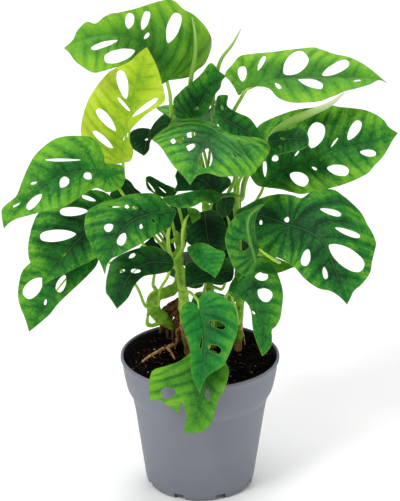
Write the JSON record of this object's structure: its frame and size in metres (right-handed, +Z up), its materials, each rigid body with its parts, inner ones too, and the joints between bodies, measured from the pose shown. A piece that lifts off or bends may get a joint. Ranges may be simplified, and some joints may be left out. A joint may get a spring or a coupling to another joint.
{
  "type": "potted swiss cheese plant",
  "caption": "Climbing houseplant with holed, heart-shaped leaves on slim petioles, growing in soil in a tapered grey nursery pot with a collar.",
  "frame": {"origin": "middle of the flat underside of the pot, on the surface that it stands on", "axes": "+Z up along the pot's axis, -Y towards the picture's viewer, +X to the viewer's right"},
  "size_m": [0.2801, 0.1995, 0.3698],
  "materials": {
    "furled_left": "smooth pale green rolled leaf",
    "furled_middle": "smooth pale green rolled leaf",
    "furled_right": "smooth pale green rolled leaf",
    "leaf_back_low": "waxy leaf, upper side half glossy",
    "leaf_back_low_right": "waxy leaf, upper side half glossy",
    "leaf_back_middle": "waxy leaf, upper side half glossy",
    "leaf_back_right": "waxy leaf, upper side half glossy",
    "leaf_back_upper": "waxy leaf, upper side half glossy",
    "leaf_behind_crown": "waxy leaf, upper side half glossy",
    "leaf_budding": "waxy leaf, upper side half glossy",
    "leaf_centre": "waxy leaf, upper side half glossy",
    "leaf_centre_front": "waxy leaf, upper side half glossy",
    "leaf_crown_left": "waxy leaf, upper side half glossy",
    "leaf_crown_right": "waxy leaf, upper side half glossy",
    "leaf_dark_left": "waxy leaf, upper side half glossy",
    "leaf_drooping": "waxy leaf, upper side half glossy",
    "leaf_edge_on": "waxy leaf, upper side half glossy",
    "leaf_far_left": "waxy leaf, upper side half glossy",
    "leaf_folded_left": "waxy leaf, upper side half glossy",
    "leaf_front": "waxy leaf, upper side half glossy",
    "leaf_front_left": "waxy leaf, upper side half glossy",
    "leaf_hanging": "waxy leaf, upper side half glossy",
    "leaf_inner_left": "waxy leaf, upper side half glossy",
    "leaf_inner_right": "waxy leaf, upper side half glossy",
    "leaf_left": "waxy leaf, upper side half glossy",
    "leaf_left_lobe": "waxy leaf, upper side half glossy",
    "leaf_low_centre": "waxy leaf, upper side half glossy",
    "leaf_low_left": "waxy leaf, upper side half glossy",
    "leaf_low_middle": "waxy leaf, upper side half glossy",
    "leaf_low_right": "waxy leaf, upper side half glossy",
    "leaf_over_rim": "waxy leaf, upper side half glossy",
    "leaf_right": "waxy leaf, upper side half glossy",
    "leaf_shaded_centre": "waxy leaf, upper side half glossy",
    "leaf_shaded_right": "waxy leaf, upper side half glossy",
    "leaf_small_centre": "waxy leaf, upper side half glossy",
    "leaf_small_right": "waxy leaf, upper side half glossy",
    "leaf_tip_right": "waxy leaf, upper side half glossy",
    "leaf_under_centre": "waxy leaf, upper side half glossy",
    "leaf_upper_left_small": "waxy leaf, upper side half glossy",
    "leaf_yellow": "waxy leaf, upper side half glossy",
    "pot": "fine-grained grey moulded plastic",
    "root_dry": "dry tan root bark",
    "soil": "damp black peat compost with brown fibres and pale specks",
    "stem_back": "smooth green stem, tan and woody at its foot",
    "stem_front": "smooth green stem, tan and woody at its foot",
    "stem_left": "smooth green stem, tan and woody at its foot",
    "stem_right": "smooth green stem, tan and woody at its foot"
  },
  "bodies": {
    "root": {"furled_left": "furled_left", "furled_middle": "furled_middle", "furled_right": "furled_right", "leaf_back_low": "leaf_back_low", "leaf_back_low_right": "leaf_back_low_right", "leaf_back_middle": "leaf_back_middle", "leaf_back_right": "leaf_back_right", "leaf_back_upper": "leaf_back_upper", "leaf_behind_crown": "leaf_behind_crown", "leaf_budding": "leaf_budding", "leaf_centre": "leaf_centre", "leaf_centre_front": "leaf_centre_front", "leaf_crown_left": "leaf_crown_left", "leaf_crown_right": "leaf_crown_right", "leaf_dark_left": "leaf_dark_left", "leaf_drooping": "leaf_drooping", "leaf_edge_on": "leaf_edge_on", "leaf_far_left": "leaf_far_left", "leaf_folded_left": "leaf_folded_left", "leaf_front": "leaf_front", "leaf_front_left": "leaf_front_left", "leaf_hanging": "leaf_hanging", "leaf_inner_left": "leaf_inner_left", "leaf_inner_right": "leaf_inner_right", "leaf_left": "leaf_left", "leaf_left_lobe": "leaf_left_lobe", "leaf_low_centre": "leaf_low_centre", "leaf_low_left": "leaf_low_left", "leaf_low_middle": "leaf_low_middle", "leaf_low_right": "leaf_low_right", "leaf_over_rim": "leaf_over_rim", "leaf_right": "leaf_right", "leaf_shaded_centre": "leaf_shaded_centre", "leaf_shaded_right": "leaf_shaded_right", "leaf_small_centre": "leaf_small_centre", "leaf_small_right": "leaf_small_right", "leaf_tip_right": "leaf_tip_right", "leaf_under_centre": "leaf_under_centre", "leaf_upper_left_small": "leaf_upper_left_small", "leaf_yellow": "leaf_yellow", "pot": "pot", "root_dry": "root_dry", "soil": "soil", "stem_back": "stem_back", "stem_front": "stem_front", "stem_left": "stem_left", "stem_right": "stem_right"}
  },
  "joints": []
}
